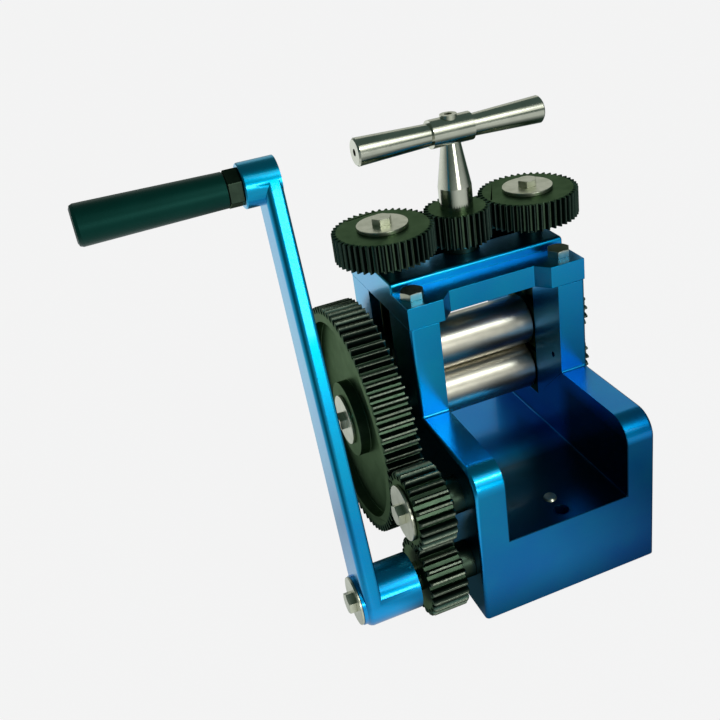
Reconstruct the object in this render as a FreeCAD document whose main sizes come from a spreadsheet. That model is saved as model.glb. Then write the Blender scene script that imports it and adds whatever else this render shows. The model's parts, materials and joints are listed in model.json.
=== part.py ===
import FreeCAD, Part
import Sketcher
import math
import os
import re

# A bench rolling mill for jewellers, in millimetres.
# X runs along the rolls, towards the end that holds the small roll gears.
# Y runs towards the back, and the rolls' common plane is Y = 0.
# Z runs up, and Z = 0 is the foot of the casting.

SIZES = [
    # the frame: a cast block with two slotted cheeks and a trough in front
    ("frame_width", 118), ("cheek_wall", 19), ("front_reach", 121), ("half_depth", 50),
    ("frame_height", 164), ("wing_height", 103), ("wing_round", 15), ("trough_floor", 52),
    ("trough_round", 1), ("edge_round", 2.5), ("cheek_foot_round", 1.5), ("slot_half", 17.5),
    ("slot_drop", 16.5),
    ("under_roof", 12), ("web_half", 8),
    ("bench_hole_radius", 4.5), ("bench_hole_inset", 9.5),
    ("trough_screw_back", 22.6), ("trough_screw_radius", 2.5), ("trough_screw_head", 4.2),
    ("trough_screw_rise", 1.2), ("trough_screw_length", 9),
    # the bridge over the cheeks
    ("bridge_thick", 14), ("bridge_step", 6), ("bridge_ledge", 25), ("bridge_edge", 0.8),
    ("step_round", 2.5), ("guide_hole_radius", 1.8), ("guide_hole_depth", 8), ("guide_hole_inset", 10),
    ("guide_hole_rise", 9),
    ("notch_margin", 4), ("notch_slant", 7.5), ("notch_deep", 8.5), ("bolt_inset", 14.5),
    # the rolls, their blocks and bushes
    ("lower_axis_height", 87), ("roll_radius", 17), ("roll_gap", 0.4), ("roll_side_play", 0.25),
    ("roll_chamfer", 0.8), ("journal_radius", 10), ("running_play", 0.05), ("bush_wall", 3),
    ("block_play", 0.2), ("block_half", 15.5), ("block_proud", 1.5),
    # the springs that lift the upper blocks
    ("spring_radius", 3), ("spring_wire", 1), ("spring_offset", 10.5), ("spring_pocket", 3.5),
    ("spring_play", 0.3),
    # the reduction gears, in one plane beside the left cheek
    ("train_module", 2), ("drive_teeth", 74), ("pinion_teeth", 22), ("train_clear", 10.5),
    ("train_width", 22.5), ("backlash", 0.22), ("pressure_angle", 20),
    ("rim_radius", 66), ("hub_radius", 25), ("web_recess", 7), ("drive_seat_radius", 9),
    ("idler_angle", 186), ("crank_pinion_angle", 262), ("idler_axle_radius", 8),
    ("idler_axle_depth", 15), ("train_washer_radius", 16.5), ("train_washer_thick", 2),
    ("pinion_chamfer", 1.2),
    # the small gears that tie the two rolls, at the right end
    ("roll_gear_teeth", 18), ("roll_gear_module", 1.89), ("roll_gear_clear", 3.5),
    ("roll_gear_width", 17.5), ("roll_gear_washer_radius", 12.5),
    # the crank
    ("crank_shaft_radius", 8), ("crank_shaft_depth", 17), ("crank_length", 244), ("crank_lean", 13),
    ("arm_thick", 10), ("arm_foot_radius", 16.5), ("arm_head_radius", 12), ("arm_play", 4),
    ("arm_outer_round", 4), ("arm_inner_round", 2), ("boss_edge", 1),
    ("foot_boss_length", 23.5), ("head_boss_length", 9.6),
    ("pad_radius", 14.5), ("pad_thick", 1.5), ("crank_washer_radius", 14), ("crank_washer_thick", 1.6),
    ("spindle_radius", 5), ("spindle_nut_flats", 18), ("spindle_nut_length", 7.5),
    ("grip_length", 75.5), ("grip_end_radius", 10.8), ("grip_neck_radius", 9.4), ("grip_round", 2.4),
    ("grip_gap", 0.5), ("spindle_head_radius", 7), ("spindle_head_length", 5),
    # the keys that hold the gears and the crank arm on their shafts
    ("key_width", 5), ("key_height", 5), ("key_depth", 3), ("key_inset", 3),
    # the roll-gap adjuster on the bridge
    ("screw_shift", 0.45), ("screw_radius", 8), ("screw_gear_teeth", 45),
    ("adjuster_teeth", 29), ("screw_gear_lift", 9.5), ("screw_gear_thick", 17.5),
    ("adjuster_gear_thick", 21), ("screw_seat_radius", 6), ("spindle_collar_rise", 4),
    ("spindle_collar_radius", 12),
    ("screw_washer_radius", 16), ("screw_washer_thick", 2.5), ("screw_tip_radius", 5),
    ("screw_tip_length", 3), ("thrust_washer_radius", 13), ("thrust_washer_thick", 2.4),
    ("column_height", 48.4), ("column_radius", 10.5), ("column_straight", 14), ("column_neck_radius", 6),
    ("tee_hub_radius", 8.7), ("tee_hub_half", 13.5), ("cross_rod_radius", 4.5), ("cross_rod_grip", 20),
    ("bar_end", 61), ("bar_neck_radius", 6.8), ("bar_end_radius", 8.5), ("bar_edge", 1),
    ("bar_end_hole", 2.2), ("bar_end_hole_depth", 5), ("tee_screw_radius", 5.2),
    ("tee_screw_rise", 1.2), ("tee_screw_hex", 2.6), ("tee_screw_hex_depth", 2),
    ("ring_thick", 2.5), ("ring_radius", 12),
    # hexagon bolts: the bridge's, and the smaller ones in the ends of the shafts
    ("bolt_flats", 13), ("bolt_head", 4.6), ("bolt_radius", 4), ("bolt_length", 26),
    ("end_bolt_flats", 11), ("end_bolt_head", 4.2), ("end_bolt_radius", 3),
    # small clearances, and how far a cut runs past the face that it opens
    ("thread_play", 0.05), ("end_play", 0.2), ("face_gap", 0.1), ("past", 1),
]

doc = FreeCAD.newDocument("rolling_mill")
sheet = doc.addObject("Spreadsheet::Sheet", "sizes")
for row, (alias, value) in enumerate(SIZES, start=1):
    sheet.set("A%d" % row, alias)
    sheet.set("B%d" % row, str(value))
    sheet.setAlias("B%d" % row, alias)
doc.recompute()

Vector = FreeCAD.Vector
ALIASES = {alias for alias, value in SIZES}
kept = []

# distances that several pieces share
INNER = "(frame_width / 2 - cheek_wall)"
OUTER = "(frame_width / 2)"
UPPER_AXIS = "(lower_axis_height + 2 * roll_radius + roll_gap)"
BLOCK_TOP = "(%s + block_half)" % UPPER_AXIS
BUSH_RADIUS = "(journal_radius + running_play + bush_wall)"
CHEEK_MIDDLE = "(frame_width / 2 - cheek_wall / 2)"
BOLT_BACK = "(half_depth - bolt_inset)"
STEP_FRONT = "(half_depth - bridge_ledge)"
TRAIN_INNER = "(frame_width / 2 + train_clear)"
TRAIN_OUTER = "(frame_width / 2 + train_clear + train_width)"
ROLL_GEAR_INNER = "(frame_width / 2 + roll_gear_clear)"
SCREW_X = "(%s + screw_shift)" % CHEEK_MIDDLE
ADJUSTER_MODULE = "(2 * %s / (screw_gear_teeth + adjuster_teeth))" % SCREW_X
MESH_LONG = "(train_module * (drive_teeth + pinion_teeth) / 2)"
MESH_SHORT = "(train_module * pinion_teeth)"
IDLER_Y = "(%s * cos(idler_angle * 1deg))" % MESH_LONG
IDLER_Z = "(lower_axis_height + %s * sin(idler_angle * 1deg))" % MESH_LONG
CRANK_Y = "(%s + %s * cos(crank_pinion_angle * 1deg))" % (IDLER_Y, MESH_SHORT)
CRANK_Z = "(%s + %s * sin(crank_pinion_angle * 1deg))" % (IDLER_Z, MESH_SHORT)
ARM_INNER = "(%s + arm_play + foot_boss_length)" % TRAIN_OUTER
ARM_OUTER = "(%s + arm_thick)" % ARM_INNER
GRIP_Y = "(%s + crank_length * sin(crank_lean * 1deg))" % CRANK_Y
GRIP_Z = "(%s + crank_length * cos(crank_lean * 1deg))" % CRANK_Z
BRIDGE_LOW = "(frame_height + bridge_thick)"
BRIDGE_TOP = "(frame_height + bridge_thick + bridge_step)"
SCREW_GEAR_LOW = "(%s + screw_gear_lift)" % BRIDGE_TOP
COLLAR_TOP = "(%s + spindle_collar_rise)" % BRIDGE_TOP
ADJUSTER_LOW = "(%s + thrust_washer_thick + end_play)" % COLLAR_TOP
ADJUSTER_TOP = "(%s + adjuster_gear_thick)" % ADJUSTER_LOW
TEE_AXIS = "(%s + column_height)" % ADJUSTER_TOP
BORE_BUSH_RADIUS = "(screw_radius + running_play + bush_wall)"
FRONT_HOLE_Y = "(bench_hole_inset - front_reach)"
REAR_HOLE_Y = "(half_depth - bench_hole_inset)"


def cells(formula):
    """The formula with each size's name written as its cell in the sheet."""
    return re.sub(r"[a-z_]+", lambda w: "sizes." + w.group() if w.group() in ALIASES else w.group(), str(formula))


def number(formula):
    """The present value of a formula."""
    return float(sheet.evalExpression(cells(formula)))


def bind(thing, **formulas):
    """Binds properties of a feature to formulas on the sheet."""
    for name, formula in formulas.items():
        thing.setExpression(name, cells(formula))


def place(thing, x=0, y=0, z=0, rotation=None):
    """Places a piece at formulas, after an optional turn."""
    thing.Placement = FreeCAD.Placement(Vector(), rotation or FreeCAD.Rotation())
    for name, formula in zip("xyz", (x, y, z)):
        thing.setExpression("Placement.Base." + name, cells(formula))


def keep(thing, label):
    """Marks a piece as a sub-part of its own."""
    thing.Label = label
    kept.append(thing)
    return thing


def origin_plane(body, role):
    return next(item for item in body.Origin.OriginFeatures if item.Role == role)


def new_sketch(body, role, name):
    sketch = body.newObject("Sketcher::SketchObject", name)
    sketch.AttachmentSupport = [(origin_plane(body, role), "")]
    sketch.MapMode = "FlatFace"
    return sketch


def pin_point(sketch, edge, end, u, v):
    """Holds the end of an edge at formulas along the sketch's two axes."""
    for kind, formula in (("DistanceX", u), ("DistanceY", v)):
        held = sketch.addConstraint(Sketcher.Constraint(kind, edge, end, number(formula)))
        sketch.setExpression("Constraints[%d]" % held, cells(formula))


def outline(body, role, name, corners):
    """A closed sketch of straight runs between corners given as formulas."""
    sketch = new_sketch(body, role, name)
    spots = [Vector(number(u), number(v), 0) for u, v in corners]
    following = spots[1:] + spots[:1]
    sketch.addGeometry([Part.LineSegment(a, b) for a, b in zip(spots, following)], False)
    for edge, (u, v) in enumerate(corners):
        sketch.addConstraint(Sketcher.Constraint("Coincident", edge, 2, (edge + 1) % len(corners), 1))
        pin_point(sketch, edge, 1, u, v)
    return sketch


def circles(body, role, name, rounds):
    """A sketch of whole circles, each given as centre and radius formulas."""
    sketch = new_sketch(body, role, name)
    for edge, (u, v, radius) in enumerate(rounds):
        centre = Vector(number(u), number(v), 0)
        sketch.addGeometry(Part.Circle(centre, Vector(0, 0, 1), number(radius)), False)
        pin_point(sketch, edge, 3, u, v)
        held = sketch.addConstraint(Sketcher.Constraint("Radius", edge, number(radius)))
        sketch.setExpression("Constraints[%d]" % held, cells(radius))
    return sketch


def pad(body, sketch, name, length, side="One side", reverse=False):
    feature = body.newObject("PartDesign::Pad", name)
    feature.Profile = sketch
    feature.SideType = side
    feature.Reversed = reverse
    bind(feature, Length=length)
    return feature


def pocket(body, sketch, name, length=None, side="One side", reverse=False):
    """A pocket to a depth, or right through when no length is given."""
    doc.recompute()
    before = body.Shape.Volume
    feature = body.newObject("PartDesign::Pocket", name)
    feature.Profile = sketch
    feature.SideType = side
    feature.Reversed = reverse
    if length is None:
        feature.Type = "ThroughAll"
    else:
        bind(feature, Length=length)
    doc.recompute()
    if body.Shape.Volume >= before:
        raise ValueError(name + " cuts nothing")
    return feature


def edges_where(shape, test):
    """Names of the edges whose middle passes the test, with their direction."""
    names = []
    for index, edge in enumerate(shape.Edges, start=1):
        middle = edge.valueAt((edge.FirstParameter + edge.LastParameter) / 2)
        along = edge.tangentAt((edge.FirstParameter + edge.LastParameter) / 2)
        if test(middle, along):
            names.append("Edge%d" % index)
    return names


def soften(body, kind, name, size, test):
    """A fillet or chamfer on the edges that pass the test."""
    doc.recompute()
    base = body.Tip
    feature = body.newObject("PartDesign::" + kind, name)
    feature.Base = (base, edges_where(base.Shape, test))
    bind(feature, **{"Radius" if kind == "Fillet" else "Size": size})
    doc.recompute()
    return feature


def turned(label, axis, steps, bore=0, x=0, y=0, z=0, finished=True):
    """A lathe-turned piece: steps are (distance along the axis, radius) formulas."""
    body = doc.addObject("PartDesign::Body", label if finished else label + "_blank")
    corners = [(steps[0][0], bore)] + list(steps) + [(steps[-1][0], bore)]
    if axis == "X":
        sketch = outline(body, "XY_Plane", label + "_profile", corners)
    else:
        sketch = outline(body, "XZ_Plane", label + "_profile", [(r, a) for a, r in corners])
    feature = body.newObject("PartDesign::Revolution", label + "_turning")
    feature.Profile = sketch
    feature.ReferenceAxis = (sketch, ["H_Axis" if axis == "X" else "V_Axis"])
    feature.Angle = 360
    place(body, x, y, z)
    return keep(body, label) if finished else body


def cylinder(name, axis, radius, length, x=0, y=0, z=0):
    thing = doc.addObject("Part::Cylinder", name)
    bind(thing, Radius=radius, Height=length)
    turns = {"X": FreeCAD.Rotation(Vector(0, 1, 0), 90), "Y": FreeCAD.Rotation(Vector(1, 0, 0), -90)}
    place(thing, x, y, z, turns.get(axis))
    return thing


def joined(kind, name, *pieces):
    thing = doc.addObject("Part::Multi" + kind, name)
    thing.Shapes = list(pieces)
    return thing


def cut(name, base, *tools):
    tool = tools[0] if len(tools) == 1 else joined("Fuse", name + "_tools", *tools)
    thing = doc.addObject("Part::Cut", name)
    thing.Base = base
    thing.Tool = tool
    return thing


def hexagon_bolt(name, kind, length, rotation=None, x=0, y=0, z=0):
    """A hexagon bolt whose head sits on its local Z = 0 and whose shank runs down."""
    flats, high = kind + "_flats", kind + "_head"
    head = doc.addObject("Part::Prism", name + "_hexagon")
    head.Polygon = 6
    bind(head, Circumradius=flats + " / sqrt(3)", Height=high)
    crown = doc.addObject("Part::Cone", name + "_crown")
    bind(crown, Radius1="%s / 2 + 3 * %s" % (flats, high), Radius2=flats + " / 2 - face_gap", Height=high)
    shaped = joined("Common", name + "_head", head, crown)
    shank = cylinder(name + "_shank", "Z", kind + "_radius", length, z="-(%s)" % length)
    bolt = joined("Fuse", name, shaped, shank)
    place(bolt, x, y, z, rotation)
    return bolt


def involute_point(base_radius, radius, sign, offset):
    """A point of an involute at a radius, mirrored by sign and turned by offset."""
    roll = math.sqrt(max((radius / base_radius) ** 2 - 1, 0))
    angle = sign * (offset - (roll - math.atan(roll)))
    return Vector(radius * math.cos(angle), radius * math.sin(angle), 0)


def gear_face(teeth, module, angle, clearance):
    """The outline of a spur gear: involute flanks, round roots and flat tips."""
    pitch, tip, root = (module * k / 2 for k in (teeth, teeth + 2, teeth - 2.5))
    base = pitch * math.cos(angle)
    start = max(base, root)
    roll = math.tan(angle)
    half = (math.pi * module / 2 - clearance) / 2 / pitch + roll - angle
    edges = []
    for tooth in range(teeth):
        turn = FreeCAD.Rotation(Vector(0, 0, 1), math.degrees(2 * math.pi * tooth / teeth))
        after = FreeCAD.Rotation(Vector(0, 0, 1), math.degrees(2 * math.pi * (tooth + 1) / teeth))
        rise = [turn.multVec(involute_point(base, r, -1, half)) for r in (start, (start + tip) / 2, tip)]
        fall = [turn.multVec(involute_point(base, r, 1, half)) for r in (tip, (start + tip) / 2, start)]
        foot = turn.multVec(involute_point(base, start, -1, half)).normalize() * root
        heel = turn.multVec(involute_point(base, start, 1, half)).normalize() * root
        next_foot = after.multVec(involute_point(base, start, -1, half)).normalize() * root
        if start - root > 0.01:
            edges.append(Part.makeLine(foot, rise[0]))
        edges.append(Part.Arc(*rise).toShape())
        edges.append(Part.makeLine(rise[2], fall[0]))
        edges.append(Part.Arc(*fall).toShape())
        if start - root > 0.01:
            edges.append(Part.makeLine(fall[2], heel))
        edges.append(Part.makeLine(heel, next_foot))
    return Part.Face(Part.Wire(edges))


def ring(outer, inner, bottom, top):
    """A plain ring about the Z axis, as a shape."""
    body = Part.makeCylinder(outer, top - bottom, Vector(0, 0, bottom))
    return body.cut(Part.makeCylinder(inner, top - bottom, Vector(0, 0, bottom)))


def double_cone(tip, chamfer, thick):
    """The turned blank of a gear whose tooth ends are chamfered."""
    points = [(0, 0), (tip - chamfer, 0), (tip, chamfer),
              (tip, thick - chamfer), (tip - chamfer, thick), (0, thick)]
    wire = Part.makePolygon([Vector(r, 0, h) for r, h in points + points[:1]])
    return Part.Face(wire).revolve(Vector(), Vector(0, 0, 1), 360)


def key_block(name, start, length, y, z, seat, play="0"):
    """A key on top of a shaft of radius seat that lies along X, grown by the play on every side."""
    block = doc.addObject("Part::Box", name)
    bind(block, Length="%s + 2 * %s" % (length, play), Width="key_width + 2 * %s" % play,
         Height="key_height + 2 * %s" % play)
    place(block, "%s - %s" % (start, play), "%s - key_width / 2 - %s" % (y, play),
          "%s + %s - key_depth - %s" % (z, seat, play))
    return block


def keyway(name, start, length, y, z, seat):
    """The slot that a key sits in."""
    return key_block(name, start, length, y, z, seat, "thread_play")


def gear(label, teeth, module, thick, bore, phase, lie, x=0, y=0, z=0, chamfer=None, recess=False,
         finished=True):
    """A spur gear with one tooth centred on phase, an angle in radians."""
    count, size, width, hole = int(round(number(teeth))), number(module), number(thick), number(bore)
    profile = gear_face(count, size, math.radians(number("pressure_angle")), number("backlash"))
    solid = profile.extrude(Vector(0, 0, width))
    if chamfer:
        solid = solid.common(double_cone(size * (count + 2) / 2, number(chamfer), width))
    solid = solid.cut(Part.makeCylinder(hole, width))
    if recess:
        deep = number("web_recess")
        rim, hub = number("rim_radius"), number("hub_radius")
        solid = solid.cut(ring(rim, hub, 0, deep)).cut(ring(rim, hub, width - deep, width))
    thing = doc.addObject("Part::Feature", label if finished else label + "_blank")
    thing.Shape = solid
    # local X, Y, Z go to world Y, Z, X for a gear on a shaft along X
    about_x = FreeCAD.Rotation(Vector(1, 1, 1), 120)
    turn = about_x if lie == "X" else FreeCAD.Rotation()
    turned_to_mesh = turn.multiply(FreeCAD.Rotation(Vector(0, 0, 1), math.degrees(phase)))
    thing.Placement = FreeCAD.Placement(Vector(number(x), number(y), number(z)), turned_to_mesh)
    return keep(thing, label) if finished else thing


def mate_phase(phase, radius, direction, mate_radius, mate_teeth):
    """The tooth phase of a gear that meshes with another in a given direction."""
    shift = (phase - direction) * radius
    return direction + math.pi - shift / mate_radius + math.pi / mate_teeth


# the cast frame
frame = doc.addObject("PartDesign::Body", "frame_body")
SLOT_FLOOR = "(lower_axis_height - slot_drop)"
side = outline(frame, "YZ_Plane", "frame_side", [
    ("-front_reach", 0), ("half_depth", 0), ("half_depth", "frame_height"),
    ("slot_half", "frame_height"), ("slot_half", SLOT_FLOOR), ("-slot_half", SLOT_FLOOR),
    ("-slot_half", "frame_height"), ("-half_depth", "frame_height"),
    ("-half_depth", "wing_height"), ("-front_reach", "wing_height")])
pad(frame, side, "frame_block", "frame_width", "Symmetric")
front = -number("front_reach")
wing = number("wing_height")
soften(frame, "Fillet", "wing_corner", "wing_round",
       lambda at, along: abs(at.y - front) < 0.1 and abs(at.z - wing) < 0.1 and abs(along.x) > 0.9)
cheek_front = -number("half_depth")
soften(frame, "Fillet", "cheek_foot", "cheek_foot_round",
       lambda at, along: abs(at.y - cheek_front) < 0.1 and abs(at.z - wing) < 0.1 and abs(along.x) > 0.9)
trough = outline(frame, "XZ_Plane", "trough_section", [
    ("-" + INNER, "trough_floor"), (INNER, "trough_floor"),
    (INNER, "frame_height + past"), ("-" + INNER, "frame_height + past")])
pocket(frame, trough, "trough", None, "Symmetric")
floor = number("trough_floor")
inner = number(INNER)
soften(frame, "Fillet", "trough_corner", "trough_round",
       lambda at, along: abs(at.z - floor) < 0.1 and abs(abs(at.x) - inner) < 0.1 and abs(along.y) > 0.9)
hollow = outline(frame, "XY_Plane", "front_hollow", [
    ("-" + INNER, "cheek_wall - front_reach"), (INNER, "cheek_wall - front_reach"),
    (INNER, "-web_half"), ("-" + INNER, "-web_half")])
pocket(frame, hollow, "front_core", "trough_floor - under_roof", reverse=True)
back_hollow = outline(frame, "XY_Plane", "rear_hollow", [
    ("-" + INNER, "web_half"), (INNER, "web_half"),
    (INNER, "half_depth - cheek_wall"), ("-" + INNER, "half_depth - cheek_wall")])
pocket(frame, back_hollow, "rear_core", "trough_floor - under_roof", reverse=True)
bench = circles(frame, "XY_Plane", "bench_holes", [
    (0, FRONT_HOLE_Y, "bench_hole_radius"), (0, REAR_HOLE_Y, "bench_hole_radius")])
pocket(frame, bench, "bench_bores", "trough_floor + past", reverse=True)
outer = number(OUTER)
height = number("frame_height")


def outer_edge(at, along):
    """The cheeks' outer vertical and front edges, and the wings' outer top edges."""
    beside = abs(abs(at.x) - outer) < 0.1
    upright = beside and abs(along.z) > 0.9 and (abs(at.y - front) < 0.1 or abs(at.y - number("half_depth")) < 0.1)
    top = beside and abs(at.z - wing) < 0.1 and abs(along.y) > 0.9
    bend = beside and at.y < -number("half_depth") and at.z > wing - number("wing_round") and abs(along.x) < 0.1
    return upright or top or bend


soften(frame, "Fillet", "outer_edges", "edge_round", outer_edge)

# bores of the frame that are drilled after casting
SCREW_Y = "(trough_screw_back - front_reach)"
drilled = [
    cylinder("idler_bore", "X", "idler_axle_radius + thread_play", "idler_axle_depth + past",
             "-%s - past" % OUTER, IDLER_Y, IDLER_Z),
    cylinder("crank_bore", "X", "crank_shaft_radius + running_play + bush_wall + thread_play",
             "crank_shaft_depth + end_play + past", "-%s - past" % OUTER, CRANK_Y, CRANK_Z),
    cylinder("trough_screw_bore", "Z", "trough_screw_radius + thread_play", "trough_screw_length + past",
             0, SCREW_Y, "trough_floor - trough_screw_length"),
    cylinder("guide_hole", "X", "guide_hole_radius", "guide_hole_depth + past",
             "%s - past" % INNER, "guide_hole_inset - half_depth", "wing_height + guide_hole_rise"),
]
for across in (-1, 1):
    for along in (-1, 1):
        drilled.append(cylinder("tapped_hole", "Z", "bolt_radius + thread_play", "bolt_length + past",
                                "%d * %s" % (across, CHEEK_MIDDLE), "%d * %s" % (along, BOLT_BACK),
                                "frame_height - bolt_length"))
keep(cut("frame_casting", frame, *drilled), "frame")

# the bridge that closes the slots and carries the adjuster
bridge = doc.addObject("PartDesign::Body", "bridge_body")
plan = outline(bridge, "XY_Plane", "bridge_plan", [
    ("-" + OUTER, "-half_depth"), ("notch_margin - %s" % INNER, "-half_depth"),
    ("notch_margin + notch_slant - %s" % INNER, "notch_deep - half_depth"),
    ("%s - notch_margin - notch_slant" % INNER, "notch_deep - half_depth"),
    ("%s - notch_margin" % INNER, "-half_depth"), (OUTER, "-half_depth"),
    (OUTER, "half_depth"), ("-" + OUTER, "half_depth")])
pad(bridge, plan, "bridge_plate", "bridge_thick")
step = outline(bridge, "XY_Plane", "bridge_step_plan", [
    ("-" + OUTER, "-" + STEP_FRONT), (OUTER, "-" + STEP_FRONT),
    (OUTER, "half_depth"), ("-" + OUTER, "half_depth")])
pad(bridge, step, "bridge_raised", "bridge_thick + bridge_step")
top_edge = number("bridge_thick + bridge_step")
step_edge = -number(STEP_FRONT)
soften(bridge, "Fillet", "step_front", "step_round",
       lambda at, along: abs(at.z - top_edge) < 0.1 and abs(at.y - step_edge) < 0.1)
soften(bridge, "Chamfer", "bridge_edges", "bridge_edge",
       lambda at, along: abs(at.z - top_edge) < 0.1 and at.y > step_edge + number("step_round") + 1)
place(bridge, 0, 0, "frame_height")
THROUGH_BRIDGE = "bridge_thick + bridge_step + 2 * past"
UNDER_BRIDGE = "frame_height - past"
bridge_holes = [cylinder("adjuster_bore", "Z", BORE_BUSH_RADIUS + " + thread_play", THROUGH_BRIDGE, z=UNDER_BRIDGE)]
for across in (-1, 1):
    bridge_holes.append(cylinder("screw_bore", "Z", "screw_radius + running_play", THROUGH_BRIDGE,
                                 "%d * %s" % (across, SCREW_X), 0, UNDER_BRIDGE))
    for along in (-1, 1):
        bridge_holes.append(cylinder("bolt_clearance", "Z", "bolt_radius + thread_play", THROUGH_BRIDGE,
                                     "%d * %s" % (across, CHEEK_MIDDLE), "%d * %s" % (along, BOLT_BACK),
                                     UNDER_BRIDGE))
keep(cut("bridge_casting", bridge, *bridge_holes), "bridge")

bolts = []
for along, top in ((-1, BRIDGE_LOW), (1, BRIDGE_TOP)):
    for across in (-1, 1):
        bolts.append(hexagon_bolt("bridge_bolt", "bolt", "bolt_length + bridge_thick", None,
                                  "%d * %s" % (across, CHEEK_MIDDLE), "%d * %s" % (along, BOLT_BACK), top))
bridge_bolts = doc.addObject("Part::Compound", "bridge_bolt_set")
bridge_bolts.Links = bolts
keep(bridge_bolts, "bridge_bolts")

# the small screw in the trough's floor
turned("trough_screw", "Z", [
    ("-trough_screw_length", "trough_screw_radius"), (0, "trough_screw_radius"), (0, "trough_screw_head"),
    ("trough_screw_rise", "trough_screw_head - trough_screw_rise / 2")], y=SCREW_Y, z="trough_floor")

# bearing blocks, their bushes and the lifting springs
for side_name, hand in (("left", -1), ("right", 1)):
    for level, axis_height, low, high in (
            ("lower", "lower_axis_height", "slot_drop", "block_half"),
            ("upper", UPPER_AXIS, "block_half", "block_half")):
        name = "%s_%s_block" % (side_name, level)
        block = doc.addObject("Part::Box", name + "_blank")
        bind(block, Length="cheek_wall + block_proud", Width="2 * (slot_half - block_play)",
             Height="%s + %s" % (low, high))
        start = INNER if hand > 0 else "-(%s + block_proud)" % OUTER
        place(block, start, "block_play - slot_half", "%s - %s" % (axis_height, low))
        tools = [cylinder(name + "_bore", "X", BUSH_RADIUS + " + thread_play",
                          "cheek_wall + block_proud + 2 * past", "%s - past" % start, 0, axis_height)]
        for across in (-1, 1):
            mouth = "lower_axis_height + block_half - spring_pocket"
            if level == "upper":
                mouth = "%s - block_half - past" % UPPER_AXIS
            tools.append(cylinder(name + "_pocket", "Z", "spring_radius + spring_play", "spring_pocket + past",
                                  "%d * %s" % (hand, CHEEK_MIDDLE),
                                  "%d * spring_offset" % across, mouth))
        keep(cut(name + "_machined", block, *tools), name)
        turned("%s_%s_bush" % (side_name, level), "X",
               [(start, BUSH_RADIUS), ("%s + cheek_wall + block_proud" % start, BUSH_RADIUS)],
               "journal_radius + running_play", 0, 0, axis_height)

springs = []
for hand in (-1, 1):
    for across in (-1, 1):
        spot = {"x": "%d * %s" % (hand, CHEEK_MIDDLE), "y": "%d * spring_offset" % across,
                "z": "lower_axis_height + block_half - spring_pocket + face_gap"}
        tall = "2 * (roll_radius - block_half + spring_pocket - face_gap) + roll_gap"
        outside = cylinder("spring_outside", "Z", "spring_radius", tall, **spot)
        inside = cylinder("spring_inside", "Z", "spring_radius - spring_wire", tall, **spot)
        springs.append(cut("spring", outside, inside))
spring_set = doc.addObject("Part::Compound", "spring_set")
spring_set.Links = springs
keep(spring_set, "lifting_springs")

# the two rolls
ROLL_HALF = "(%s - roll_side_play)" % INNER
ROLL_GEAR_OUTER = "(%s + roll_gear_width)" % ROLL_GEAR_INNER
ROLL_KEY = ("%s + key_inset" % ROLL_GEAR_INNER, "roll_gear_width - 2 * key_inset")
DRIVE_KEY = ("key_inset - %s" % TRAIN_OUTER, "train_width - 2 * key_inset")


def roll(label, left_steps, axis_height, *keys):
    """A hardened roll with a journal each side, a gear seat at the right and slots for its keys."""
    blank = turned(label, "X", left_steps + [
        ("-%s" % ROLL_HALF, "journal_radius"), ("-%s" % ROLL_HALF, "roll_radius - roll_chamfer"),
        ("roll_chamfer - %s" % ROLL_HALF, "roll_radius"), ("%s - roll_chamfer" % ROLL_HALF, "roll_radius"),
        (ROLL_HALF, "roll_radius - roll_chamfer"), (ROLL_HALF, "journal_radius"),
        (ROLL_GEAR_INNER, "journal_radius"), (ROLL_GEAR_INNER, "drive_seat_radius"),
        (ROLL_GEAR_OUTER, "drive_seat_radius")], 0, 0, 0, axis_height, finished=False)
    slots = [keyway(label + "_keyway", start, length, 0, axis_height, "drive_seat_radius")
             for start, length in keys]
    keep(cut(label + "_slotted", blank, *slots), label)


roll("lower_roll", [("-" + TRAIN_OUTER, "drive_seat_radius"), ("-" + TRAIN_INNER, "drive_seat_radius"),
                    ("-" + TRAIN_INNER, "journal_radius")], "lower_axis_height", ROLL_KEY, DRIVE_KEY)
roll("upper_roll", [("-(%s + block_proud)" % OUTER, "journal_radius")], UPPER_AXIS, ROLL_KEY)
for label, run, axis_height in (("drive_key", DRIVE_KEY, "lower_axis_height"),
                                ("lower_roll_key", ROLL_KEY, "lower_axis_height"),
                                ("upper_roll_key", ROLL_KEY, UPPER_AXIS)):
    keep(key_block(label + "_bar", *run, 0, axis_height, "drive_seat_radius"), label)

# the reduction train beside the left cheek
LEFTWARD = FreeCAD.Rotation(Vector(0, 1, 0), -90)
RIGHTWARD = FreeCAD.Rotation(Vector(0, 1, 0), 90)
drive_pitch = number("train_module * drive_teeth / 2")
pinion_pitch = number("train_module * pinion_teeth / 2")
toward_idler = math.radians(number("idler_angle"))
toward_crank = math.radians(number("crank_pinion_angle"))
pinion_count = int(round(number("pinion_teeth")))
idler_phase = mate_phase(0, drive_pitch, toward_idler, pinion_pitch, pinion_count)
crank_phase = mate_phase(idler_phase, pinion_pitch, toward_crank, pinion_pitch, pinion_count)
SEAT = "drive_seat_radius + thread_play"
THROUGH_TRAIN = ("-%s - past" % TRAIN_OUTER, "train_width + 2 * past")
CRANK_KEY = ("key_inset - %s" % ARM_OUTER, "%s - %s - 2 * key_inset" % (ARM_OUTER, TRAIN_INNER))
drive_blank = gear("drive_gear", "drive_teeth", "train_module", "train_width", SEAT, 0, "X",
                   "-" + TRAIN_OUTER, 0, "lower_axis_height", recess=True, finished=False)
keep(cut("drive_gear_slotted", drive_blank, keyway("drive_gear_keyway", *THROUGH_TRAIN, 0, "lower_axis_height",
                                                   "drive_seat_radius")), "drive_gear")
gear("idler_gear", "pinion_teeth", "train_module", "train_width",
     "idler_axle_radius + running_play + bush_wall", idler_phase, "X", "-" + TRAIN_OUTER, IDLER_Y, IDLER_Z,
     chamfer="pinion_chamfer")
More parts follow.
